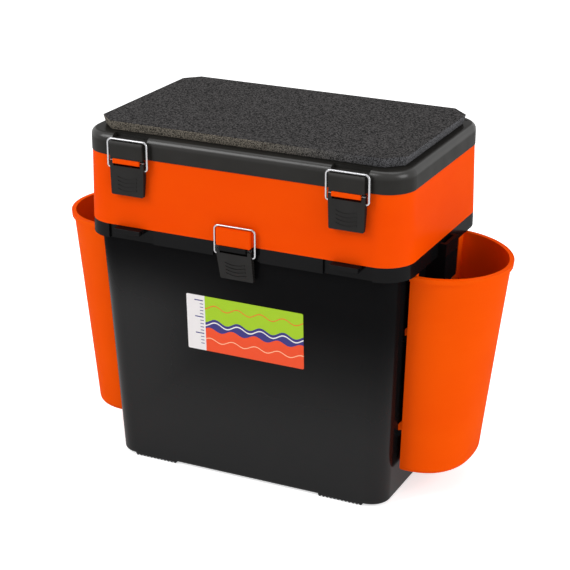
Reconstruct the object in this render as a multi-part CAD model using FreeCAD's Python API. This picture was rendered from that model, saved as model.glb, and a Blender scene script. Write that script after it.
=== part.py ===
import FreeCAD, Part
import math
import os

# Fishing seat box: a tall drafted bin, a shallow tackle section hinged on its rim, and a
# hinged lid with a foam seat. Millimetres. X runs along the front, Y points to the rear,
# Z is up. The origin is under the middle of the box, on the ground.

os.makedirs("parts", exist_ok=True)
V = FreeCAD.Vector

# Bin
FOOT_HEIGHT = 1.5
BIN_WIDTH = 298.0
BIN_DEPTH = 180.8
BIN_HEIGHT = 257.0
BIN_CORNER_RADIUS = 20.4
BIN_DRAFT_DEG = 2.52
BIN_EDGE_RADIUS = 3.0
BIN_WALL = 3.0
BIN_FLOOR = 3.2

# Rim of the bin, a turned-down flange
RIM_SIDE_OVERHANG = 10.5
RIM_FRONT_OVERHANG = 4.79
RIM_CORNER_GROWTH = 10.6
RIM_HEIGHT = 14.7
RIM_PLATE = 3.0
RIM_SKIRT = 2.4
RIM_RIB_THICKNESS = 2.0
RIM_RIB_PLACES = (-75.0, -38.0, 38.0, 75.0)

# Serrated feet under the bin
FOOT_END_INSET = 21.0
FOOT_LENGTH_IN_Y = 24.0
FOOT_INSET = 2.5
TOOTH_PITCH = 4.0
TOOTH_TIP = 1.2
TOOTH_COUNT = 12

# Tackle section
SECTION_HEIGHT = 70.4
SECTION_SIDE_TAPER = 1.3
SECTION_FRONT_TAPER = 2.75
SECTION_CORNER_TAPER = 3.4
SECTION_WALL = 3.0
SECTION_FLOOR = 3.0

# Lid
LID_OVERHANG = 0.6
LID_HEIGHT = 21.0
LID_EDGE_RADIUS = 6.5
LID_WALL = 3.0
LID_HOLE_RADIUS = 1.6
LID_HOLE_SIDE_INSET = 13.6
LID_HOLE_REAR_INSET = 15.5

# Foam seat
SEAT_SIDE_MARGIN = 9.1
SEAT_FRONT_MARGIN = 11.85
SEAT_THICKNESS = 9.8
SEAT_CHAMFER_X = 17.0
SEAT_CHAMFER_Y = 16.5

# Draw latches
LATCH_SPACING = 231.0
PIVOT_STANDOFF = 4.8
PIVOT_DROP = 2.7
BLOCK_WIDTH = 28.7
BLOCK_HEIGHT = 4.7
BLOCK_NOSE = 4.4
BLOCK_EDGE_RADIUS = 0.6
LATCH_PIN_RADIUS = 1.2
LEVER_TOP_WIDTH = 37.4
LEVER_FOOT_WIDTH = 35.4
LEVER_LENGTH = 34.4
LEVER_FRONT = 2.3
LEVER_BACK = 2.9
LEVER_PLATE = 2.2
LEVER_FOOT_THICKNESS = 3.2
LEVER_SHOULDER = 5.2
LEVER_BRIDGE = 2.4
LEVER_FOOT_RADIUS = 1.5
EAR_GAP = 0.4
EAR_SLOT = 1.4
GRIP_RIB_COUNT = 4
GRIP_RIB_PITCH = 4.0
GRIP_RIB_LENGTH = 21.0
GRIP_RIB_RADIUS = 26.0
GRIP_RIB_WIDTH = 1.3
GRIP_RIB_HEIGHT = 0.5
GRIP_RIB_FIRST = 3.4
CENTRE_LEAN_DEG = 13.0
RUNNING_CLEARANCE = 0.08

# Wire bails
WIRE_RADIUS = 1.1
BAIL_PIVOT_DROP = 7.2
BAIL_LEG_GAP = 1.6
BAIL_TOP_BEND = 4.0
BAIL_FOOT_BEND = 2.4
BAIL_END_DEPTH = 3.2
BAIL_BAR_GAP = 0.25

# Catches that the bails draw down
CATCH_WIDTH = 35.8
CATCH_HEIGHT = 16.8
CATCH_PROUD = 7.9
CATCH_EDGE_RADIUS = 1.0
CATCH_NOTCH_WIDTH = 38.5
CATCH_NOTCH_DEPTH = 9.0
CATCH_NOTCH_WALL = 2.0

# Recesses of the rim, around each latch place
RECESS_WIDTH = 50.0
RECESS_DEPTH = 2.5
RECESS_WALL = 2.2

# Rod hinges at the rear
HINGE_SPACING = 190.0
KNUCKLE_RADIUS = 4.5
KNUCKLE_STANDOFF = 5.0
MOVING_KNUCKLE = 28.0
FIXED_KNUCKLE = 15.0
KNUCKLE_GAP = 0.5
HINGE_PIN_RADIUS = 2.0

# Strap lugs on the sides of the rim
LUG_REACH = 8.4
LUG_WIDTH = 32.8
LUG_HEIGHT = 41.5
LUG_FOOT_TAPER = 1.5
LUG_TOP_DROP = 1.4
LUG_SLOT_WIDTH = 24.0
LUG_SLOT_DEPTH = 5.0
LUG_SIDE_CLEARANCE = 1.2

# Side pockets
POCKET_GAP = 4.5
POCKET_FLOOR_Z = 28.8
POCKET_TOP_Z = 240.2
POCKET_TOP_HALF_WIDTH = 69.8
POCKET_FLOOR_HALF_WIDTH = 61.7
POCKET_TOP_FLANK = 3.9
POCKET_FLOOR_FLANK = 1.29
POCKET_TOP_BELLY = 69.0
POCKET_FLOOR_BELLY = 52.7
POCKET_TOP_EXPONENT = 1.92
POCKET_FLOOR_EXPONENT = 2.36
POCKET_WALL = 2.5
POCKET_EDGE_RADIUS = 7.0
POCKET_EDGE_STEPS = 4
POCKET_LIP_PROUD = 2.2
POCKET_LIP_HEIGHT = 5.0
NOTCH_HALF_WIDTH = 54.5
NOTCH_FLOOR_Z = 190.0
NOTCH_CHAMFER = 12.0

# Cleats that carry the pockets
CLEAT_SLOPE_DEG = 16.0
CLEAT_REACH = 4.0
CLEAT_HEIGHT = 7.0
CLEAT_LENGTH = 14.0
CLEAT_GAP = 0.37
CLEAT_CENTRE_Y = 55.5
CLEAT_HIGH_Z = 176.0
CLEAT_LOW_Z = 75.0

# Printed label on the front of the bin
LABEL_WIDTH = 126.4
LABEL_HEIGHT = 58.9
LABEL_CENTRE_X = 3.8
LABEL_FOOT_Z = 135.9
LABEL_THICKNESS = 0.3
LABEL_CORNER_RADIUS = 1.5

# Values worked out from the sizes above
BIN_Z = FOOT_HEIGHT
SECTION_Z = BIN_Z + BIN_HEIGHT
LID_Z = SECTION_Z + SECTION_HEIGHT
LID_TOP_Z = LID_Z + LID_HEIGHT
DRAFT = math.tan(math.radians(BIN_DRAFT_DEG))
RIM_WIDTH = BIN_WIDTH + 2 * (BIN_HEIGHT * DRAFT + RIM_SIDE_OVERHANG)
RIM_DEPTH = BIN_DEPTH + 2 * (BIN_HEIGHT * DRAFT + RIM_FRONT_OVERHANG)
RIM_CORNER_RADIUS = BIN_CORNER_RADIUS + RIM_CORNER_GROWTH
SECTION_TOP_WIDTH = RIM_WIDTH - 2 * SECTION_SIDE_TAPER
SECTION_TOP_DEPTH = RIM_DEPTH - 2 * SECTION_FRONT_TAPER
SECTION_TOP_CORNER_RADIUS = RIM_CORNER_RADIUS - SECTION_CORNER_TAPER
LID_WIDTH = SECTION_TOP_WIDTH + 2 * LID_OVERHANG
LID_DEPTH = SECTION_TOP_DEPTH + 2 * LID_OVERHANG
SEAT_WIDTH = LID_WIDTH - 2 * SEAT_SIDE_MARGIN
SEAT_DEPTH = LID_DEPTH - 2 * SEAT_FRONT_MARGIN
LATCH_X = LATCH_SPACING / 2
HINGE_X = HINGE_SPACING / 2
WINDOW_HALF_WIDTH = BLOCK_WIDTH / 2 + EAR_GAP
BAIL_LEG_X = LEVER_TOP_WIDTH / 2 + BAIL_LEG_GAP + WIRE_RADIUS
LUG_OUTER_X = RIM_WIDTH / 2 + LUG_REACH
BODY_LAP = 1.0


def save(name, shape):
    shape.exportStep("parts/" + name + ".step")


def box(x, y, z):
    """A box from three (low, high) pairs."""
    corner = V(x[0], y[0], z[0])
    return Part.makeBox(x[1] - x[0], y[1] - y[0], z[1] - z[0], corner)


def rod(x_low, x_high, radius, y, z):
    """A cylinder along X."""
    return Part.makeCylinder(radius, x_high - x_low, V(x_low, y, z), V(1, 0, 0))


def prism_along_x(points, x_low, x_high):
    """A polygon of (y, z) points, drawn from x_low to x_high."""
    corners = [V(x_low, y, z) for y, z in points]
    face = Part.Face(Part.makePolygon(corners + corners[:1]))
    return face.extrude(V(x_high - x_low, 0, 0))


def prism_along_y(points, y_low, y_high):
    """A polygon of (x, z) points, drawn from y_low to y_high."""
    corners = [V(x, y_low, z) for x, z in points]
    face = Part.Face(Part.makePolygon(corners + corners[:1]))
    return face.extrude(V(0, y_high - y_low, 0))


def mirrored(shape):
    return shape.mirror(V(0, 0, 0), V(1, 0, 0))


def rounded_outline(width, depth, radius, z):
    """A closed rectangle with round corners, centred on the Z axis."""
    half_x = width / 2
    half_y = depth / 2
    edges = []
    last = None
    first = None
    for quarter in range(4):
        sign_x = (1, -1, -1, 1)[quarter]
        sign_y = (1, 1, -1, -1)[quarter]
        centre = V(sign_x * (half_x - radius), sign_y * (half_y - radius), z)
        arc = []
        for step in range(3):
            angle = math.radians(90 * quarter + 45 * step)
            arc.append(centre + V(radius * math.cos(angle), radius * math.sin(angle), 0))
        if last is None:
            first = arc[0]
        else:
            edges.append(Part.LineSegment(last, arc[0]).toShape())
        edges.append(Part.Arc(arc[0], arc[1], arc[2]).toShape())
        last = arc[2]
    edges.append(Part.LineSegment(last, first).toShape())
    return Part.Wire(edges)


def tapered_block(low, high):
    """A solid between two rounded outlines, each (width, depth, radius, z)."""
    return Part.makeLoft([rounded_outline(*low), rounded_outline(*high)], True, True)


def straight_block(width, depth, radius, z_low, z_high):
    face = Part.Face(rounded_outline(width, depth, radius, z_low))
    return face.extrude(V(0, 0, z_high - z_low))


def edges_at(shape, z):
    """The edges of a shape that lie in one level plane."""
    found = []
    for edge in shape.Edges:
        bounds = edge.BoundBox
        if abs(bounds.ZMin - z) < 0.01 and abs(bounds.ZMax - z) < 0.01:
            found.append(edge)
    return found


def bin_growth(z):
    """How far each wall of the bin stands out at a height, past its foot."""
    return (z - BIN_Z) * DRAFT


def bin_size(z, offset):
    """Width, depth, corner radius and height of the bin's outline at z."""
    grown = 2 * (bin_growth(z) + offset)
    return BIN_WIDTH + grown, BIN_DEPTH + grown, BIN_CORNER_RADIUS + offset, z


def bin_front_y(z):
    return -BIN_DEPTH / 2 - bin_growth(z)


def bin_side_x(z):
    return BIN_WIDTH / 2 + bin_growth(z)


def section_front_y(z):
    """The section's front face, which leans in from the rim to its top."""
    share = (z - SECTION_Z) / SECTION_HEIGHT
    return -(RIM_DEPTH + (SECTION_TOP_DEPTH - RIM_DEPTH) * share) / 2


def section_size(z, offset):
    share = (z - SECTION_Z) / SECTION_HEIGHT
    width = RIM_WIDTH + (SECTION_TOP_WIDTH - RIM_WIDTH) * share
    depth = RIM_DEPTH + (SECTION_TOP_DEPTH - RIM_DEPTH) * share
    radius = RIM_CORNER_RADIUS + (SECTION_TOP_CORNER_RADIUS - RIM_CORNER_RADIUS) * share
    return width + 2 * offset, depth + 2 * offset, radius + offset, z


def pivot_block(x, face_y, top_z, root_y):
    """The block that a lever's ears straddle: a bar with a flat nose and a pin bore."""
    axis_y = face_y - PIVOT_STANDOFF
    axis_z = top_z - PIVOT_DROP
    half = BLOCK_HEIGHT / 2
    x_low = x - BLOCK_WIDTH / 2
    x_high = x + BLOCK_WIDTH / 2
    nose_y = axis_y - BLOCK_NOSE
    bar = box((x_low, x_high), (nose_y, root_y), (axis_z - half, axis_z + half))
    nose_edges = []
    for edge in bar.Edges:
        if edge.BoundBox.XLength > 1 and abs(edge.BoundBox.Center.y - nose_y) < 0.01:
            nose_edges.append(edge)
    bar = bar.makeFillet(BLOCK_EDGE_RADIUS, nose_edges)
    return bar.cut(rod(x_low, x_high, LATCH_PIN_RADIUS, axis_y, axis_z))


def catch(x, face_y, foot_z, root_y):
    """The raised pad whose top holds the bar of a bail."""
    x_range = (x - CATCH_WIDTH / 2, x + CATCH_WIDTH / 2)
    front_y = face_y - CATCH_PROUD
    pad = box(x_range, (front_y, root_y), (foot_z, foot_z + CATCH_HEIGHT))
    upright = []
    for edge in pad.Edges:
        middle = edge.BoundBox.Center
        if edge.BoundBox.ZLength > 1 and abs(middle.y - front_y) < 0.01:
            upright.append(edge)
    return pad.makeFillet(CATCH_EDGE_RADIUS, upright)


def knuckles(x, face_y, z, moving):
    """One hinge's knuckles on the rear face at face_y: the middle one or the outer two."""
    axis_y = face_y + KNUCKLE_STANDOFF
    half = MOVING_KNUCKLE / 2
    if moving:
        spans = [(x - half, x + half)]
        bore = HINGE_PIN_RADIUS + RUNNING_CLEARANCE
        web_z = (z, z + KNUCKLE_RADIUS)
    else:
        near = half + KNUCKLE_GAP
        far = near + FIXED_KNUCKLE
        spans = [(x - far, x - near), (x + near, x + far)]
        bore = HINGE_PIN_RADIUS
        web_z = (z - KNUCKLE_RADIUS, z)
    solids = []
    for span in spans:
        knuckle = rod(span[0], span[1], KNUCKLE_RADIUS, axis_y, z)
        knuckle = knuckle.fuse(box(span, (face_y - BODY_LAP, axis_y), web_z))
        solids.append(knuckle.cut(rod(span[0], span[1], bore, axis_y, z)))
    return solids


def hinge_pin(x, face_y, z):
    half = MOVING_KNUCKLE / 2 + KNUCKLE_GAP + FIXED_KNUCKLE
    return rod(x - half, x + half, HINGE_PIN_RADIUS, face_y + KNUCKLE_STANDOFF, z)


def rim():
    """The flange round the bin's mouth, with its skirt turned down."""
    low = SECTION_Z - RIM_HEIGHT
    outer = straight_block(RIM_WIDTH, RIM_DEPTH, RIM_CORNER_RADIUS, low, SECTION_Z)
    inner_width = RIM_WIDTH - 2 * RIM_SKIRT
    inner_depth = RIM_DEPTH - 2 * RIM_SKIRT
    inner_radius = RIM_CORNER_RADIUS - RIM_SKIRT
    hollow_top = SECTION_Z - RIM_PLATE
    hollow = straight_block(inner_width, inner_depth, inner_radius, low - 1, hollow_top)
    return outer.cut(hollow)


def rim_ribs():
    """Stiffening ribs between the skirt and the bin's side walls."""
    low = SECTION_Z - RIM_HEIGHT
    ribs = []
    for y in RIM_RIB_PLACES:
        x_range = (bin_side_x(low) - BODY_LAP, RIM_WIDTH / 2 - RIM_SKIRT / 2)
        y_range = (y - RIM_RIB_THICKNESS / 2, y + RIM_RIB_THICKNESS / 2)
        rib = box(x_range, y_range, (low + RIM_SKIRT, SECTION_Z - RIM_PLATE / 2))
        ribs += [rib, mirrored(rib)]
    return ribs


def latch_recess(x):
    """Walls and hollow of the rim's recess at one latch place."""
    low = SECTION_Z - RIM_HEIGHT
    front = -RIM_DEPTH / 2
    half = RECESS_WIDTH / 2
    back = front + RECESS_DEPTH
    walls = box((x - half - RECESS_WALL, x + half + RECESS_WALL),
                (front + RIM_SKIRT / 2, back + RECESS_WALL), (low, SECTION_Z))
    hollow = box((x - half, x + half), (front - 1, back), (low - 1, SECTION_Z + 1))
    return walls, hollow


def foot(x_low, y_low):
    """A strip of teeth that run front to back, with flat tips."""
    points = [(x_low, BIN_Z + BODY_LAP)]
    flank = (TOOTH_PITCH - TOOTH_TIP) / 2
    for tooth in range(TOOTH_COUNT):
        start = x_low + tooth * TOOTH_PITCH
        points.append((start, BIN_Z))
        points.append((start + flank, 0))
        points.append((start + flank + TOOTH_TIP, 0))
    end = x_low + TOOTH_COUNT * TOOTH_PITCH
    points += [(end, BIN_Z), (end, BIN_Z + BODY_LAP)]
    return prism_along_y(points, y_low, y_low + FOOT_LENGTH_IN_Y)


def feet():
    front_y = -BIN_DEPTH / 2 + FOOT_INSET
    rear_y = BIN_DEPTH / 2 - FOOT_INSET - FOOT_LENGTH_IN_Y
    start = BIN_WIDTH / 2 - FOOT_END_INSET - TOOTH_COUNT * TOOTH_PITCH
    solids = []
    for y in (front_y, rear_y):
        right = foot(start, y)
        solids += [right, mirrored(right)]
    return solids


def lug_parts():
    """The right strap lug's solid and its slot."""
    half = LUG_WIDTH / 2
    top = SECTION_Z - LUG_TOP_DROP
    bottom = top - LUG_HEIGHT
    wall_x = bin_side_x(bottom) - BODY_LAP
    points = [(wall_x, bottom), (LUG_OUTER_X - LUG_FOOT_TAPER, bottom),
              (LUG_OUTER_X, top), (wall_x, top)]
    solid = prism_along_y(points, -half, half)
    slot_half = LUG_SLOT_WIDTH / 2
    slot_low = RIM_WIDTH / 2
    slot_high = slot_low + LUG_SLOT_DEPTH
    slot = box((slot_low, slot_high), (-slot_half, slot_half), (bottom - 1, top + 1))
    under_rim_z = SECTION_Z - RIM_HEIGHT
    hollow_low = bin_side_x(under_rim_z) + LUG_SIDE_CLEARANCE
    hollow = box((hollow_low, slot_high), (-slot_half, slot_half), (bottom - 1, under_rim_z))
    return solid, slot.fuse(hollow)


def bin_cleat(y, z):
    """A ledge on the right wall whose top slopes up and outwards."""
    x = bin_side_x(z)
    rise = CLEAT_REACH * math.tan(math.radians(CLEAT_SLOPE_DEG))
    points = [
        (x - BODY_LAP, z - CLEAT_HEIGHT),
        (x, z - CLEAT_HEIGHT),
        (x + CLEAT_REACH, z - CLEAT_HEIGHT + CLEAT_REACH),
        (x + CLEAT_REACH, z + rise),
        (x, z),
        (x - BODY_LAP, z),
    ]
    return prism_along_y(points, y - CLEAT_LENGTH / 2, y + CLEAT_LENGTH / 2)


def pocket_cleat(y, z):
    """The pocket's hook, which hangs behind a ledge of the bin."""
    wall_x = bin_side_x(z)
    tan_slope = math.tan(math.radians(CLEAT_SLOPE_DEG))
    near = POCKET_GAP - CLEAT_REACH
    far = POCKET_GAP + BODY_LAP
    points = [
        (wall_x + near, z + near * tan_slope + CLEAT_GAP),
        (wall_x + far, z + far * tan_slope + CLEAT_GAP),
        (wall_x + far, z + CLEAT_HEIGHT + far),
        (wall_x + near, z + CLEAT_HEIGHT),
    ]
    return prism_along_y(points, y - CLEAT_LENGTH / 2, y + CLEAT_LENGTH / 2)


def cleat_places():
    places = []
    for z in (CLEAT_LOW_Z, CLEAT_HIGH_Z):
        places += [(-CLEAT_CENTRE_Y, z), (CLEAT_CENTRE_Y, z)]
    return places


def bin_shell():
    body = tapered_block(bin_size(BIN_Z, 0), bin_size(SECTION_Z, 0))
    body = body.makeFillet(BIN_EDGE_RADIUS, edges_at(body, BIN_Z))
    added = [rim()] + rim_ribs() + feet()
    hollows = []
    front_face = -RIM_DEPTH / 2
    for x in (-LATCH_X, 0, LATCH_X):
        walls, hollow = latch_recess(x)
        added.append(walls)
        hollows.append(hollow)
    for y, z in cleat_places():
        cleat = bin_cleat(y, z)
        added += [cleat, mirrored(cleat)]
    lug, slot = lug_parts()
    added += [lug, mirrored(lug)]
    hollows += [slot, mirrored(slot)]
    for x in (-HINGE_X, HINGE_X):
        added += knuckles(x, RIM_DEPTH / 2, SECTION_Z, False)
    cavity_low = bin_size(BIN_Z + BIN_FLOOR, -BIN_WALL)
    cavity_high = bin_size(SECTION_Z + 1, -BIN_WALL)
    hollows.append(tapered_block(cavity_low, cavity_high))
    body = body.fuse(added).cut(hollows)
    root_y = front_face + RECESS_DEPTH + BODY_LAP
    blocks = []
    for x in (-LATCH_X, 0, LATCH_X):
        blocks.append(pivot_block(x, front_face, SECTION_Z, root_y))
    return body.fuse(blocks).removeSplitter()


def label_sticker():
    z = LABEL_FOOT_Z + BIN_Z
    plate = box((-LABEL_WIDTH / 2, LABEL_WIDTH / 2), (-LABEL_THICKNESS, 0), (0, LABEL_HEIGHT))
    corners = [edge for edge in plate.Edges if edge.BoundBox.YLength > LABEL_THICKNESS / 2]
    plate = plate.makeFillet(LABEL_CORNER_RADIUS, corners)
    plate.rotate(V(0, 0, 0), V(1, 0, 0), BIN_DRAFT_DEG)
    plate.translate(V(LABEL_CENTRE_X, bin_front_y(z), z))
    return plate


def upper_section():
    body = tapered_block(section_size(SECTION_Z, 0), section_size(LID_Z, 0))
    cavity_low = section_size(SECTION_Z + SECTION_FLOOR, -SECTION_WALL)
    cavity_high = section_size(LID_Z + 1, -SECTION_WALL)
    cavity = tapered_block(cavity_low, cavity_high)
    front_top = section_front_y(LID_Z - PIVOT_DROP)
    added = []
    for x in (-LATCH_X, LATCH_X):
        added.append(pivot_block(x, front_top, LID_Z, front_top + BODY_LAP))
    added.append(catch(0, -RIM_DEPTH / 2, SECTION_Z, -RIM_DEPTH / 2 + 2 * BODY_LAP))
    for x in (-HINGE_X, HINGE_X):
        added += knuckles(x, RIM_DEPTH / 2, SECTION_Z, True)
        added += knuckles(x, LID_DEPTH / 2, LID_Z, False)
    return body.cut(cavity).fuse(added).removeSplitter()


def lid_shell():
    width, depth = LID_WIDTH, LID_DEPTH
    radius = SECTION_TOP_CORNER_RADIUS + LID_OVERHANG
    body = straight_block(width, depth, radius, LID_Z, LID_TOP_Z)
    body = body.makeFillet(LID_EDGE_RADIUS, edges_at(body, LID_TOP_Z))
    inner_top = LID_TOP_Z - LID_WALL
    hollow = straight_block(width - 2 * LID_WALL, depth - 2 * LID_WALL, radius - LID_WALL,
                            LID_Z - 1, inner_top)
    hollow = hollow.makeFillet(LID_EDGE_RADIUS - LID_WALL, edges_at(hollow, inner_top))
    front = -depth / 2
    notch_z = LID_Z + CATCH_HEIGHT
    notch_back = front + CATCH_NOTCH_DEPTH
    half = CATCH_NOTCH_WIDTH / 2
    outer_half = half + CATCH_NOTCH_WALL
    added = []
    cuts = []
    kept = []
    for x in (-LATCH_X, LATCH_X):
        added.append(catch(x, front, LID_Z, front + BODY_LAP))
        kept.append(box((x - outer_half, x + outer_half),
                        (front - 1, notch_back + CATCH_NOTCH_WALL),
                        (notch_z - CATCH_NOTCH_WALL, LID_TOP_Z + 1)))
        cuts.append(box((x - half, x + half), (front - 1, notch_back), (notch_z, LID_TOP_Z + 1)))
    body = body.cut(hollow.cut(kept))
    hole_x = width / 2 - LID_HOLE_SIDE_INSET
    hole_y = depth / 2 - LID_HOLE_REAR_INSET
    for x in (-hole_x, hole_x):
        cuts.append(Part.makeCylinder(LID_HOLE_RADIUS, 2 * LID_WALL,
                                      V(x, hole_y, LID_TOP_Z - LID_WALL - 1)))
    for x in (-HINGE_X, HINGE_X):
        added += knuckles(x, depth / 2, LID_Z, True)
    return body.fuse(added).cut(cuts).removeSplitter()


def seat_pad():
    half_x = SEAT_WIDTH / 2
    half_y = SEAT_DEPTH / 2
    cut_x = half_x - SEAT_CHAMFER_X
    cut_y = half_y - SEAT_CHAMFER_Y
    points = [(half_x, cut_y), (cut_x, half_y), (-cut_x, half_y), (-half_x, cut_y),
              (-half_x, -cut_y), (-cut_x, -half_y), (cut_x, -half_y), (half_x, -cut_y)]
    corners = [V(x, y, LID_TOP_Z) for x, y in points]
    face = Part.Face(Part.makePolygon(corners + corners[:1]))
    return face.extrude(V(0, 0, SEAT_THICKNESS))


def lever_side():
    """The lever seen from its side, drawn across its full width."""
    front = -LEVER_FRONT
    back = LEVER_BACK
    thin_back = LEVER_FOOT_THICKNESS - LEVER_FRONT
    ear = LEVER_FRONT
    half = LEVER_TOP_WIDTH / 2
    foot_z = -LEVER_LENGTH
    corners = [(front, 0), (front, foot_z), (thin_back, foot_z),
               (back, foot_z / 2), (back, -BAIL_PIVOT_DROP), (ear, 0)]
    points = [V(-half, y, z) for y, z in corners]
    edges = []
    for start, end in zip(points[:-1], points[1:]):
        edges.append(Part.LineSegment(start, end).toShape())
    edges.append(Part.Arc(points[-1], V(-half, 0, ear), points[0]).toShape())
    return Part.Face(Part.Wire(edges)).extrude(V(2 * half, 0, 0))


def lever():
    """A draw latch's lever, hanging down, with its pivot at the origin."""
    body = lever_side()
    half_top = LEVER_TOP_WIDTH / 2
    half_foot = LEVER_FOOT_WIDTH / 2
    foot_z = -LEVER_LENGTH
    narrow = half_top - half_foot
    past = 2 * LEVER_BACK
    through = (-past, past)
    outline = [(-half_top, LEVER_FRONT), (half_top, LEVER_FRONT), (half_top, 0),
               (half_foot, foot_z), (-half_foot, foot_z), (-half_top, 0)]
    body = body.common(prism_along_y(outline, -past, past))
    foot_edges = []
    for edge in body.Edges:
        middle = edge.BoundBox.Center
        if edge.BoundBox.YLength > 1 and edge.BoundBox.XLength < 0.1 and middle.z < foot_z + 0.1:
            foot_edges.append(edge)
    body = body.makeFillet(LEVER_FOOT_RADIUS, foot_edges)
    window = box((-WINDOW_HALF_WIDTH, WINDOW_HALF_WIDTH), through, (-LEVER_SHOULDER, past))
    cheek = WINDOW_HALF_WIDTH - narrow
    hollow = box((-cheek, cheek), (LEVER_PLATE - LEVER_FRONT, past),
                 (foot_z - past, -LEVER_SHOULDER - LEVER_BRIDGE))
    bore = rod(-half_top, half_top, LATCH_PIN_RADIUS + RUNNING_CLEARANCE, 0, 0)
    slot = box((-half_top, half_top), (-past, 0), (-EAR_SLOT / 2, EAR_SLOT / 2))
    bail_radius = WIRE_RADIUS + RUNNING_CLEARANCE
    bail_bore = rod(-half_top, half_top, bail_radius, 0, -BAIL_PIVOT_DROP)
    keep = box((-cheek - BODY_LAP, cheek + BODY_LAP), through, (-BAIL_PIVOT_DROP - past, 0))
    body = body.cut([window, hollow, bore, slot, bail_bore.cut(keep)])
    return body.fuse(grip_ribs()).removeSplitter()


def grip_ribs():
    """Curved ridges low on the lever's face."""
    half = GRIP_RIB_LENGTH / 2
    front = (-LEVER_FRONT - GRIP_RIB_HEIGHT, -LEVER_FRONT + GRIP_RIB_HEIGHT)
    ribs = []
    for index in range(GRIP_RIB_COUNT):
        z = -LEVER_LENGTH + GRIP_RIB_FIRST + index * GRIP_RIB_PITCH
        centre = V(0, front[0], z + GRIP_RIB_RADIUS)
        depth = front[1] - front[0]
        outer = Part.makeCylinder(GRIP_RIB_RADIUS, depth, centre, V(0, 1, 0))
        inner = Part.makeCylinder(GRIP_RIB_RADIUS - GRIP_RIB_WIDTH, depth, centre, V(0, 1, 0))
        window = box((-half, half), front, (z - 1, z + GRIP_RIB_LENGTH / 3))
        ribs.append(outer.cut(inner).common(window))
    return ribs


def bail(bar_height):
    """The wire bail, upright, with the pivot of its ends at the origin."""
    leg = BAIL_LEG_X
    top = bar_height
    end_x = leg - BAIL_LEG_GAP - WIRE_RADIUS - BAIL_END_DEPTH
    high = BAIL_TOP_BEND
    low = BAIL_FOOT_BEND
    diagonal = 1 - math.sqrt(0.5)
    right = [
        Part.LineSegment(V(end_x, 0, 0), V(leg - low, 0, 0)),
        Part.Arc(V(leg - low, 0, 0), V(leg - low * diagonal, 0, low * diagonal), V(leg, 0, low)),
        Part.LineSegment(V(leg, 0, low), V(leg, 0, top - high)),
        Part.Arc(V(leg, 0, top - high), V(leg - high * diagonal, 0, top - high * diagonal),
                 V(leg - high, 0, top)),
    ]
    left = [
        Part.Arc(V(-leg + high, 0, top), V(-leg + high * diagonal, 0, top - high * diagonal),
                 V(-leg, 0, top - high)),
        Part.LineSegment(V(-leg, 0, top - high), V(-leg, 0, low)),
        Part.Arc(V(-leg, 0, low), V(-leg + low * diagonal, 0, low * diagonal), V(-leg + low, 0, 0)),
        Part.LineSegment(V(-leg + low, 0, 0), V(-end_x, 0, 0)),
    ]
    bar = Part.LineSegment(V(leg - high, 0, top), V(-leg + high, 0, top))
    path = Part.Wire([curve.toShape() for curve in right + [bar] + left])
    circle = Part.Wire(Part.Circle(V(end_x, 0, 0), V(1, 0, 0), WIRE_RADIUS).toShape())
    return path.makePipeShell([circle], True, False)


def place_latch(x, face_y, top_z, lean_deg):
    """The lever, its pin and its bail, set on the pivot block at one latch place."""
    axis_y = face_y - PIVOT_STANDOFF
    axis_z = top_z - PIVOT_DROP
    axis = V(x, axis_y, axis_z)
    handle = lever()
    handle.rotate(V(0, 0, 0), V(1, 0, 0), lean_deg)
    handle.translate(axis)
    lean = math.radians(lean_deg)
    bail_y = axis_y + BAIL_PIVOT_DROP * math.sin(lean)
    bail_z = axis_z - BAIL_PIVOT_DROP * math.cos(lean)
    bar_z = top_z + CATCH_HEIGHT + BAIL_BAR_GAP + WIRE_RADIUS
    wire = bail(bar_z - bail_z)
    wire.translate(V(x, bail_y, bail_z))
    half = LEVER_TOP_WIDTH / 2 - EAR_GAP
    pin = rod(x - half, x + half, LATCH_PIN_RADIUS, axis_y, axis_z)
    return handle, wire, pin


def pocket_outline(z, inset, back_inset):
    """A pocket's outline in its own frame: a flat back, short flanks and a superellipse belly.

    Here X points away from the flat back and Z runs up along the bin's wall from its foot.
    """
    share = (z - POCKET_FLOOR_Z) / (POCKET_TOP_Z - POCKET_FLOOR_Z)
    half = POCKET_FLOOR_HALF_WIDTH + (POCKET_TOP_HALF_WIDTH - POCKET_FLOOR_HALF_WIDTH) * share
    half -= inset
    belly = POCKET_FLOOR_BELLY + (POCKET_TOP_BELLY - POCKET_FLOOR_BELLY) * share
    flank = POCKET_FLOOR_FLANK + (POCKET_TOP_FLANK - POCKET_FLOOR_FLANK) * share
    shoulder = max(flank, back_inset + BODY_LAP)
    belly += flank - shoulder - inset
    exponent = POCKET_FLOOR_EXPONENT + (POCKET_TOP_EXPONENT - POCKET_FLOOR_EXPONENT) * share
    points = []
    steps = 12
    for step in range(steps + 1):
        angle = math.pi * (step / steps - 0.5)
        reach = belly * abs(math.cos(angle)) ** (2 / exponent)
        side = half * abs(math.sin(angle)) ** (2 / exponent)
        points.append(V(shoulder + reach, math.copysign(side, angle), z))
    points[0] = V(shoulder, -half, z)
    points[-1] = V(shoulder, half, z)
    curve = Part.BSplineCurve()
    curve.interpolate(points)
    corner_low = V(back_inset, -half, z)
    corner_high = V(back_inset, half, z)
    return Part.Wire([
        Part.LineSegment(corner_low, points[0]).toShape(),
        curve.toShape(),
        Part.LineSegment(points[-1], corner_high).toShape(),
        Part.LineSegment(corner_high, corner_low).toShape(),
    ])


def pocket_loft(z_low, z_high, inset, back_inset):
    low = pocket_outline(z_low, inset, back_inset)
    high = pocket_outline(z_high, inset, back_inset)
    return Part.makeLoft([low, high], True, True)


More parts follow.
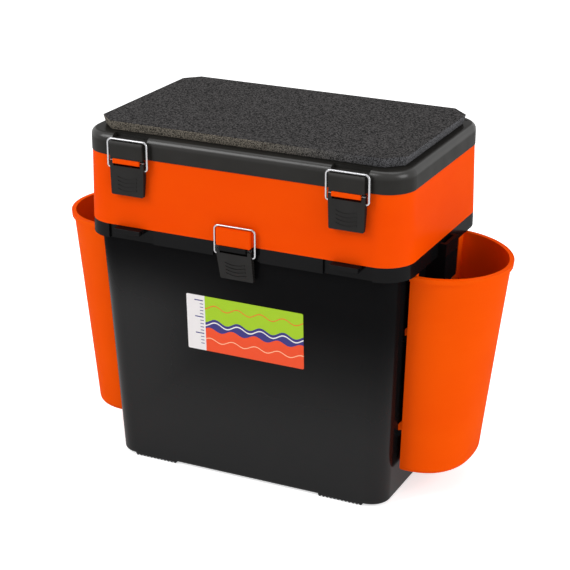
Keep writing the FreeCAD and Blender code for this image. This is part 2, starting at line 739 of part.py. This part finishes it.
def pocket_body(z_low, z_high, inset, back_inset, radius):
    """A pocket-shaped solid whose lowest edge is rounded by a smooth loft."""
    outlines = []
    for step in range(POCKET_EDGE_STEPS + 1):
        angle = math.radians(90 * step / POCKET_EDGE_STEPS)
        drawn_in = radius * (1 - math.sin(angle))
        z = z_low + radius * (1 - math.cos(angle))
        outlines.append(pocket_outline(z, inset + drawn_in, back_inset + drawn_in))
    foot_part = Part.makeLoft(outlines, True, False)
    return foot_part.fuse(pocket_loft(z_low + radius, z_high, inset, back_inset))


def pocket():
    """The right pocket, moulded open at the top, with its hooks on its flat back."""
    past_back = -2 * POCKET_EDGE_RADIUS
    body = pocket_body(POCKET_FLOOR_Z, POCKET_TOP_Z, 0, past_back, POCKET_EDGE_RADIUS)
    lip_z = POCKET_TOP_Z - POCKET_LIP_HEIGHT
    lip = pocket_loft(lip_z, POCKET_TOP_Z, -POCKET_LIP_PROUD, past_back - POCKET_LIP_PROUD)
    inner_z = POCKET_FLOOR_Z + POCKET_WALL
    inner_radius = POCKET_EDGE_RADIUS - POCKET_WALL
    hollow = pocket_body(inner_z, POCKET_TOP_Z + 1, POCKET_WALL, POCKET_WALL, inner_radius)
    half = 2 * POCKET_TOP_HALF_WIDTH
    behind = box((2 * past_back, 0), (-half, half), (0, 2 * POCKET_TOP_Z))
    side = NOTCH_HALF_WIDTH
    low_side = side - NOTCH_CHAMFER
    shoulder_z = NOTCH_FLOOR_Z + NOTCH_CHAMFER
    above = POCKET_TOP_Z + 1
    points = [(-low_side, NOTCH_FLOOR_Z), (low_side, NOTCH_FLOOR_Z), (side, shoulder_z),
              (side, above), (-side, above), (-side, shoulder_z)]
    notch = prism_along_x(points, -POCKET_WALL, 2 * POCKET_WALL)
    body = body.fuse(lip).cut([behind, hollow, notch])
    body.rotate(V(0, 0, 0), V(0, 1, 0), BIN_DRAFT_DEG)
    body.translate(V(bin_side_x(BIN_Z) + POCKET_GAP, 0, BIN_Z))
    hooks = [pocket_cleat(y, z) for y, z in cleat_places()]
    return body.fuse(hooks).removeSplitter()


def build():
    save("bin_shell", bin_shell())
    save("label_sticker", label_sticker())
    save("upper_section", upper_section())
    save("lid_shell", lid_shell())
    save("seat_pad", seat_pad())
    sides = (("left", -1), ("right", 1))
    for side, sign in sides:
        section_pin = hinge_pin(sign * HINGE_X, RIM_DEPTH / 2, SECTION_Z)
        save("section_hinge_pin_" + side, section_pin)
        save("lid_hinge_pin_" + side, hinge_pin(sign * HINGE_X, LID_DEPTH / 2, LID_Z))
    top_face = section_front_y(LID_Z - PIVOT_DROP)
    places = (
        ("left", -LATCH_X, top_face, LID_Z, 0),
        ("right", LATCH_X, top_face, LID_Z, 0),
        ("centre", 0, -RIM_DEPTH / 2, SECTION_Z, CENTRE_LEAN_DEG),
    )
    for name, x, face_y, top_z, lean in places:
        handle, wire, pin = place_latch(x, face_y, top_z, lean)
        save("latch_lever_" + name, handle)
        save("bail_" + name, wire)
        save("latch_pin_" + name, pin)
    right_pocket = pocket()
    save("pocket_right", right_pocket)
    save("pocket_left", mirrored(right_pocket))


build()
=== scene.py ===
import math

import bpy
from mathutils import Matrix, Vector


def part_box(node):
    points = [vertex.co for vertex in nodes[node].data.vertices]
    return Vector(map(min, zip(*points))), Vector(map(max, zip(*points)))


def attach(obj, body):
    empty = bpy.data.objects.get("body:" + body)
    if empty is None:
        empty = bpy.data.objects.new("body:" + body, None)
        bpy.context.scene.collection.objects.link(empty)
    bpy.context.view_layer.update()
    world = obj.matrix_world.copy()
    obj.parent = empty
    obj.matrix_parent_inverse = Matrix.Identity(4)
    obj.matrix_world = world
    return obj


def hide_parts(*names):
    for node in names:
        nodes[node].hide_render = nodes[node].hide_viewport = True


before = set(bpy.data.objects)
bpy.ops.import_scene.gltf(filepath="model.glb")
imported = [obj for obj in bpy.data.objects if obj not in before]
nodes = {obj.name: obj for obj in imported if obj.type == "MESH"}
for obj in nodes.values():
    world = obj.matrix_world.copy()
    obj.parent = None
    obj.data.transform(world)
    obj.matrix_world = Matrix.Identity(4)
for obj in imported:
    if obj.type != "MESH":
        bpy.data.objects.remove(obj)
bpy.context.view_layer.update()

# Fishing seat box: finishes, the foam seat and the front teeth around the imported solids. Metres,
# with X along the front, Y to the rear hinges and Z up.

# Where the bin's plastic shines, each from no shine to full shine
LOW_SHINE_Z = (0.205, 0.05)
LEFT_SHINE_X = (0.04, -0.13)
LEFT_SHINE_Z = (0.235, 0.165)
RIM_SHINE_Z = (0.2436, 0.2442)
RIM_SHINE_TIMES = 3

# The lid's rubbed edge, measured down from the deck under the seat
RUBBED_FOOT = (0.0085, 0.003)
RUBBED_TOP = (0.0002, 0.001)
RUBBED_COAT = 0.6

# How far below the seat's top its cut face begins, and where it fades from brown to grey
CUT_FACE_DEPTH = (0.0002, 0.0007)
CUT_FADE_X = (-0.02, 0.15)

# The serrated feet under the front edge
FEET_LEFT_X = -0.128
FEET_APART = 0.208
TEETH = 12
TOOTH_PITCH = 0.004
TOOTH_WIDTH = 0.00398
TOOTH_TIP_SHARE = 0.3
TOOTH_HEIGHT = 0.0015
TOOTH_ROOT_TOP = 0.0045
TEETH_FRONT_Y = -0.0904
TEETH_BACK_Y = -0.0879

# The studio: share of white that the floor and the world add for camera, glossy and glass rays
FLOOR_SIZE = 12
FLOOR_WHITE = 0.62
WORLD_LIGHT = 0.45
WORLD_WHITE = 0.55

# The camera, fitted to the photograph
EYE_PLACE = (0.7215, -1.5038, 0.8372)
EYE_DOWN_DEG = 21.524
EYE_TURN_DEG = 25.617
LENS_MM = 111.19
SENSOR_MM = 36


class Shade:
    """A shader socket that can stand in Python sums."""

    def __init__(self, finish, socket):
        self.finish = finish
        self.socket = socket

    def maths(self, operation, *others):
        return self.finish.node("ShaderNodeMath", {"operation": operation}, self, *others)

    def __add__(self, other):
        return self.maths("ADD", other)

    __radd__ = __add__

    def __sub__(self, other):
        return self.maths("SUBTRACT", other)

    def __rsub__(self, other):
        return self.finish.node("ShaderNodeMath", {"operation": "SUBTRACT"}, other, self)

    def __mul__(self, other):
        return self.maths("MULTIPLY", other)

    __rmul__ = __mul__

    def __truediv__(self, other):
        return self.maths("DIVIDE", other)

    def __gt__(self, other):
        return self.maths("GREATER_THAN", other)

    def __lt__(self, other):
        return self.maths("LESS_THAN", other)

    def wrapped(self, low, high):
        """The value carried round between two limits, so that a pattern repeats."""
        return self.maths("WRAP", high, low)

    def between(self, low, high):
        """1 where the value lies between two limits, else 0."""
        return (self > low) * (self < high)

    def ramp(self, low, high):
        """0 at low rising to 1 at high, held past both."""
        settings = {"interpolation_type": "SMOOTHSTEP"}
        return self.finish.node("ShaderNodeMapRange", settings, self, low, high, 0.0, 1.0)


class Finish:
    """A material made of shader nodes around one Principled shader."""

    def __init__(self, name, colour, roughness, **sockets):
        self.material = bpy.data.materials.new(name)
        self.material.use_nodes = True
        self.tree = self.material.node_tree
        self.shader = self.tree.nodes["Principled BSDF"]
        self.shader.inputs["Base Color"].default_value = (*colour, 1.0)
        self.shader.inputs["Roughness"].default_value = roughness
        for socket, value in sockets.items():
            self.shader.inputs[socket.replace("_", " ")].default_value = value
        self.place = self.node("ShaderNodeTexCoord", {}, output="Object")

    def node(self, kind, settings, *values, output=0, **named):
        made = self.tree.nodes.new(kind)
        for key, value in settings.items():
            setattr(made, key, value)
        for key, value in list(enumerate(values)) + list(named.items()):
            socket = made.inputs[key.replace("_", " ") if isinstance(key, str) else key]
            if isinstance(value, Shade):
                self.tree.links.new(value.socket, socket)
            else:
                socket.default_value = value
        return Shade(self, made.outputs[output])

    def axes(self):
        """The X, Y and Z of the place on the piece."""
        split = self.node("ShaderNodeSeparateXYZ", {}, self.place)
        outputs = split.socket.node.outputs
        return [Shade(self, outputs[name]) for name in ("X", "Y", "Z")]

    def noise(self, scale, detail=2.0, stretch=(1, 1, 1)):
        place = self.node("ShaderNodeMapping", {}, Vector=self.place, Scale=stretch)
        return self.node("ShaderNodeTexNoise", {}, Vector=place, Scale=scale, Detail=detail)

    def grains(self, scale):
        settings = {"feature": "F1"}
        return self.node("ShaderNodeTexVoronoi", settings, Vector=self.place, Scale=scale)

    def mixed(self, factor, low, high):
        """A colour between two colours, each a Shade or a triple."""
        ends = [end if isinstance(end, Shade) else (*end, 1.0) for end in (low, high)]
        made = self.tree.nodes.new("ShaderNodeMix")
        made.data_type = "RGBA"
        for socket, value in zip((made.inputs[0], made.inputs[6], made.inputs[7]), [factor] + ends):
            if isinstance(value, Shade):
                self.tree.links.new(value.socket, socket)
            else:
                socket.default_value = value
        return Shade(self, made.outputs[2])

    def feed(self, socket, shade):
        self.tree.links.new(shade.socket, self.shader.inputs[socket])

    def bump(self, height, strength, distance):
        bumped = self.node("ShaderNodeBump", {}, Height=height, Strength=strength,
                           Distance=distance)
        self.feed("Normal", bumped)


def linear(red, green, blue):
    """A display colour of 0 to 255 as the shader's own numbers."""
    parts = []
    for value in (red, green, blue):
        share = value / 255
        parts.append(share / 12.92 if share <= 0.04045 else ((share + 0.055) / 1.055) ** 2.4)
    return tuple(parts)


def moulded_plastic(name, colour, worn, roughness, grain, coat, foot_coat=None, edge_top=None):
    """Injection-moulded plastic: a fine even grain, faint flow marks and slight handling wear.

    With foot_coat the piece is glossier low down, at its left and on the rim.
    With edge_top the rounded edge below that height is rubbed glossy.
    """
    finish = Finish(name, colour, 0.55, Specular_IOR_Level=0.0, Coat_Weight=coat,
                    Coat_Roughness=roughness)
    flow = finish.noise(9.0, 3.0, (1, 1, 2.2))
    handled = finish.noise(60.0, 4.0)
    finish.feed("Base Color", finish.mixed(flow.ramp(0.35, 0.75) * 0.5, colour, worn))
    finish.feed("Roughness", 0.5 + (handled - 0.5) * 0.16)
    gloss = coat + (handled - 0.5) * coat * 0.5
    if foot_coat is not None:
        across, _, height = finish.axes()
        low_down = height.ramp(*LOW_SHINE_Z)
        at_left = across.ramp(*LEFT_SHINE_X) * height.ramp(*LEFT_SHINE_Z)
        gloss = gloss + low_down.maths("MAXIMUM", at_left) * (foot_coat - coat)
        gloss = gloss + height.ramp(*RIM_SHINE_Z) * coat * RIM_SHINE_TIMES
    if edge_top is not None:
        _, _, height = finish.axes()
        rising = height.ramp(*(edge_top - depth for depth in RUBBED_FOOT))
        falling = height.ramp(*(edge_top - depth for depth in RUBBED_TOP))
        gloss = gloss + rising * falling * RUBBED_COAT
    finish.feed("Coat Weight", gloss)
    finish.bump(finish.noise(1500.0, 1.0), grain, 0.0001)
    return finish.material


def foam_finish(top):
    """Closed-cell foam: dark grey with pale and dark cells, and browner where it is cut."""
    finish = Finish("seat_foam", linear(56, 55, 55), 0.95, Specular_IOR_Level=0.1)
    cells = finish.noise(680.0, 2.0)
    grains = finish.grains(1100.0)
    light = (cells - 0.5) * 4.2 + 0.5
    cut_light = (finish.noise(1000.0, 2.0) - 0.5) * 3.4 + 0.5
    across, _, height = finish.axes()
    cut_face = height.ramp(*(top - depth for depth in CUT_FACE_DEPTH))
    skin = finish.mixed(light.ramp(0.0, 1.0), linear(4, 4, 4), linear(72, 70, 70))
    brown = finish.mixed(cut_light.ramp(0.0, 1.0), linear(44, 41, 38), linear(136, 129, 117))
    grey = finish.mixed(cut_light.ramp(0.0, 1.0), linear(36, 36, 37), linear(104, 104, 107))
    side = finish.mixed(across.ramp(*CUT_FADE_X), brown, grey)
    finish.feed("Base Color", finish.mixed(cut_face, skin, side))
    finish.bump(cells + grains, 0.5, 0.0004)
    return finish.material


def wire_finish():
    """Bright drawn wire."""
    finish = Finish("bright_wire", (0.40, 0.40, 0.41), 0.25, Metallic=1.0)
    drawn = finish.noise(700.0, 2.0)
    finish.feed("Roughness", 0.2 + drawn * 0.12)
    finish.bump(drawn, 0.15, 0.0001)
    return finish.material


def rod_finish():
    """Plain turned steel for pins and hinge rods."""
    finish = Finish("rod_steel", (0.42, 0.42, 0.43), 0.35, Metallic=1.0)
    turned = finish.noise(500.0, 2.0, (4, 1, 1))
    finish.feed("Roughness", 0.28 + turned * 0.2)
    finish.bump(turned, 0.2, 0.0001)
    return finish.material


def label_finish(low, high):
    """Printed film: lime over red with navy waves between, and a strip with a plain rule."""
    finish = Finish("printed_film", linear(240, 238, 238), 0.4, Specular_IOR_Level=0.1,
                    Coat_Weight=0.3)
    x, _, z = finish.axes()
    across = (x - low.x) / (high.x - low.x)
    up = (z - low.z) / (high.z - low.z)
    white = linear(232, 228, 228)
    lime = linear(160, 200, 20)
    navy = linear(50, 44, 120)
    red = linear(236, 74, 24)
    pale_red = linear(250, 190, 150)
    wave_turn = 32.0
    swell = (across * wave_turn).maths("SINE") * 0.04
    ripple = (across * wave_turn + 1.6).maths("SINE") * 0.035
    water_top = 0.56 + swell
    water_foot = 0.40 + ripple
    field = finish.mixed(up > water_top, red, lime)
    field = finish.mixed(up.between(water_foot, water_top), field, navy)
    field = finish.mixed(up.between(0.49 + swell, 0.512 + swell), field, white)
    field = finish.mixed(up.between(0.20 + ripple, 0.215 + ripple), field, pale_red)
    field = finish.mixed(up.between(0.80 + swell, 0.815 + swell), field, red)
    tick_end = 0.145
    ticks = (up.wrapped(0.0, 0.06) < 0.014) * across.between(0.115, tick_end)
    long_ticks = (up.wrapped(0.0, 0.3) < 0.02) * across.between(0.07, tick_end)
    strip = finish.mixed((ticks + long_ticks) * up.between(0.08, 0.95), white, navy)
    field = finish.mixed(across < 0.159, field, strip)
    finish.feed("Base Color", field)
    finish.feed("Roughness", 0.36 + finish.noise(220.0) * 0.1)
    return finish.material


def assign(name, material):
    slots = nodes[name].data.materials
    slots.clear()
    slots.append(material)


def start_box(name, low, high):
    """A new box between two corners, active and alone in the selection."""
    bpy.ops.object.select_all(action="DESELECT")
    middle = [(a + b) / 2 for a, b in zip(low, high)]
    bpy.ops.mesh.primitive_cube_add(size=1, location=middle)
    piece = bpy.context.object
    piece.name = name
    piece.data.name = name
    piece.scale = [b - a for a, b in zip(low, high)]
    bpy.ops.object.transform_apply(location=True, rotation=True, scale=True)
    return piece


def seat_foam_pad():
    """The seat: a foam slab with cut corners, sides cut slightly under and a crushed edge.

    Its left edge is cut a little askew, as the photograph shows.
    """
    low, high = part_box("seat_pad")
    piece = start_box("seat_foam_pad", low, high)
    cut_x = 0.0170
    cut_y = 0.0165
    undercut = 0.0026
    askew = 0.0045
    left_start = low.y + cut_y
    left_length = high.y - low.y - 2 * cut_y
    cuts = [((high.x, 0, high.z), (1, 0)),
            ((low.x, left_start, high.z), (-left_length, askew))]
    for sign_y in (-1, 1):
        cuts.append(((0, sign_y * high.y, high.z), (0, sign_y)))
        for sign_x in (-1, 1):
            corner_x = sign_x * (high.x - cut_x)
            if sign_x < 0 < sign_y:
                corner_x += askew / 2
            corner = (corner_x, sign_y * high.y, high.z)
            cuts.append((corner, (sign_x * cut_y, sign_y * cut_x)))
    bpy.ops.object.mode_set(mode="EDIT")
    for place, outwards in cuts:
        bpy.ops.mesh.select_all(action="SELECT")
        normal = Vector((*outwards, 0)).normalized()
        normal.z = -undercut / (high.z - low.z)
        bpy.ops.mesh.bisect(plane_co=place, plane_no=normal.normalized(), use_fill=True,
                            clear_outer=True)
    bpy.ops.object.mode_set(mode="OBJECT")
    bevel = piece.modifiers.new("crushed_edge", "BEVEL")
    bevel.width = 0.0007
    bevel.segments = 2
    bevel.limit_method = "ANGLE"
    bevel.angle_limit = math.radians(60)
    bpy.ops.object.modifier_apply(modifier="crushed_edge")
    piece.data.materials.append(foam_finish(high.z))
    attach(piece, "lid")
    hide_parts("seat_pad")
    return piece


def front_grip_teeth(material):
    """The serrated feet carried on to the bin's front face, under its rounded foot.

    One tooth is drawn to its tip, repeated along the left foot and copied to the right one.
    """
    piece = start_box("front_grip_teeth", (FEET_LEFT_X, TEETH_FRONT_Y, TOOTH_HEIGHT),
                      (FEET_LEFT_X + TOOTH_WIDTH, TEETH_BACK_Y, TOOTH_ROOT_TOP))
    mesh = piece.data
    for face in mesh.polygons:
        face.select = face.normal.z < -0.5
    for vertex in mesh.vertices:
        vertex.select = vertex.co.z < (TOOTH_HEIGHT + TOOTH_ROOT_TOP) / 2
    for edge in mesh.edges:
        edge.select = all(mesh.vertices[i].select for i in edge.vertices)
    bpy.ops.object.mode_set(mode="EDIT")
    bpy.ops.mesh.select_mode(type="FACE")
    bpy.ops.mesh.extrude_region_move(TRANSFORM_OT_translate={"value": (0, 0, -TOOTH_HEIGHT)})
    bpy.ops.transform.resize(value=(TOOTH_TIP_SHARE, 1, 1),
                             center_override=(FEET_LEFT_X + TOOTH_PITCH / 2, TEETH_FRONT_Y, 0))
    bpy.ops.mesh.select_all(action="SELECT")
    bpy.ops.mesh.normals_make_consistent(inside=False)
    bpy.ops.object.mode_set(mode="OBJECT")
    row = piece.modifiers.new("row", "ARRAY")
    row.use_relative_offset = False
    row.use_constant_offset = True
    row.constant_offset_displace = (TOOTH_PITCH, 0, 0)
    row.count = TEETH
    bpy.ops.object.modifier_apply(modifier="row")
    bpy.ops.object.duplicate()
    bpy.context.object.location.x = FEET_APART
    bpy.ops.object.transform_apply(location=True, rotation=False, scale=False)
    piece.select_set(True)
    bpy.context.view_layer.objects.active = piece
    bpy.ops.object.join()
    piece.data.materials.append(material)
    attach(piece, "bin")
    return piece


def finish_solids():
    """Gives each solid its finish, and returns the black plastic for the teeth."""
    orange = moulded_plastic("orange_moulding", linear(239, 76, 1), linear(233, 66, 0),
                             0.30, 0.10, 0.05)
    black = moulded_plastic("black_moulding", linear(13, 13, 14), linear(17, 16, 17),
                            0.18, 0.10, 0.035, 0.36)
    grey = moulded_plastic("lid_moulding", linear(33, 32, 30), linear(39, 37, 35),
                           0.28, 0.15, 0.22, edge_top=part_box("seat_pad")[0].z)
    latch = moulded_plastic("latch_moulding", linear(27, 26, 25), linear(32, 30, 29),
                            0.24, 0.10, 0.26)
    pocket = moulded_plastic("pocket_moulding", linear(239, 83, 1), linear(233, 74, 0),
                             0.30, 0.10, 0.05)
    wire = wire_finish()
    rod = rod_finish()
    for name in nodes:
        if name.startswith("bail_"):
            assign(name, wire)
        elif name.startswith("latch_lever_"):
            assign(name, latch)
        elif "_pin" in name:
            assign(name, rod)
    assign("upper_section", orange)
    assign("pocket_left", pocket)
    assign("pocket_right", pocket)
    assign("bin_shell", black)
    assign("lid_shell", grey)
    assign("label_sticker", label_finish(*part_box("label_sticker")))
    return black


def light(name, place, aim, size, power):
    """A soft rectangular lamp at a place, turned to what it lights."""
    data = bpy.data.lights.new(name, "AREA")
    data.shape = "RECTANGLE"
    data.size = size[0]
    data.size_y = size[1]
    data.energy = power
    lamp = bpy.data.objects.new(name, data)
    bpy.context.scene.collection.objects.link(lamp)
    lamp.location = place
    lamp.rotation_euler = (Vector(aim) - Vector(place)).to_track_quat("-Z", "Y").to_euler()


def floor_finish():
    """Pale floor that looks white to the camera, in metal and in glass, and keeps its shadow."""
    finish = Finish("studio_floor", (0.9, 0.9, 0.9), 0.9, Specular_IOR_Level=0.0,
                    Emission_Strength=1.0)
    kinds = ("Is Camera Ray", "Is Glossy Ray", "Is Transmission Ray")
    shown = [finish.node("ShaderNodeLightPath", {}, output=kind) for kind in kinds]
    finish.feed("Emission Color", (shown[0] + shown[1] + shown[2]) * FLOOR_WHITE)
    return finish.material


def studio():
    """Pale floor, white backdrop and soft light from the upper left and the right."""
    bpy.ops.object.select_all(action="DESELECT")
    bpy.ops.mesh.primitive_plane_add(size=FLOOR_SIZE, location=(0, 0, -0.0005))
    floor = bpy.context.object
    floor.name = "studio_floor"
    floor.data.materials.append(floor_finish())
    world = bpy.data.worlds.new("studio_world")
    bpy.context.scene.world = world
    world.use_nodes = True
    tree = world.node_tree
    background = tree.nodes["Background"]
    background.inputs["Color"].default_value = (1, 1, 1, 1)
    rays = tree.nodes.new("ShaderNodeLightPath")
    total = rays.outputs["Is Camera Ray"]
    for kind in ("Is Glossy Ray", "Is Transmission Ray"):
        added = tree.nodes.new("ShaderNodeMath")
        added.operation = "ADD"
        tree.links.new(total, added.inputs[0])
        tree.links.new(rays.outputs[kind], added.inputs[1])
        total = added.outputs[0]
    seen = tree.nodes.new("ShaderNodeMath")
    seen.operation = "MULTIPLY_ADD"
    tree.links.new(total, seen.inputs[0])
    seen.inputs[1].default_value = WORLD_WHITE
    seen.inputs[2].default_value = WORLD_LIGHT
    tree.links.new(seen.outputs[0], background.inputs["Strength"])
    light("key", (-1.4, -1.5, 1.9), (0, 0, 0.2), (1.4, 1.4), 35)
    light("side", (2.2, -0.4, 1.1), (0.1, 0, 0.2), (1.2, 1.6), 27)
    light("over", (0, 0.3, 2.4), (0, 0, 0.3), (2.0, 1.2), 14)


def camera():
    """The photograph's camera, from above and to the right of the front."""
    data = bpy.data.cameras.new("camera")
    data.sensor_width = SENSOR_MM
    data.lens = LENS_MM
    eye = bpy.data.objects.new("camera", data)
    bpy.context.scene.collection.objects.link(eye)
    eye.location = EYE_PLACE
    eye.rotation_euler = (math.radians(90 - EYE_DOWN_DEG), 0, math.radians(EYE_TURN_DEG))
    data.clip_start = 0.05
    data.clip_end = 30
    bpy.context.scene.camera = eye


front_grip_teeth(finish_solids())
seat_foam_pad()
studio()
camera()
bpy.context.scene.view_settings.view_transform = "Standard"
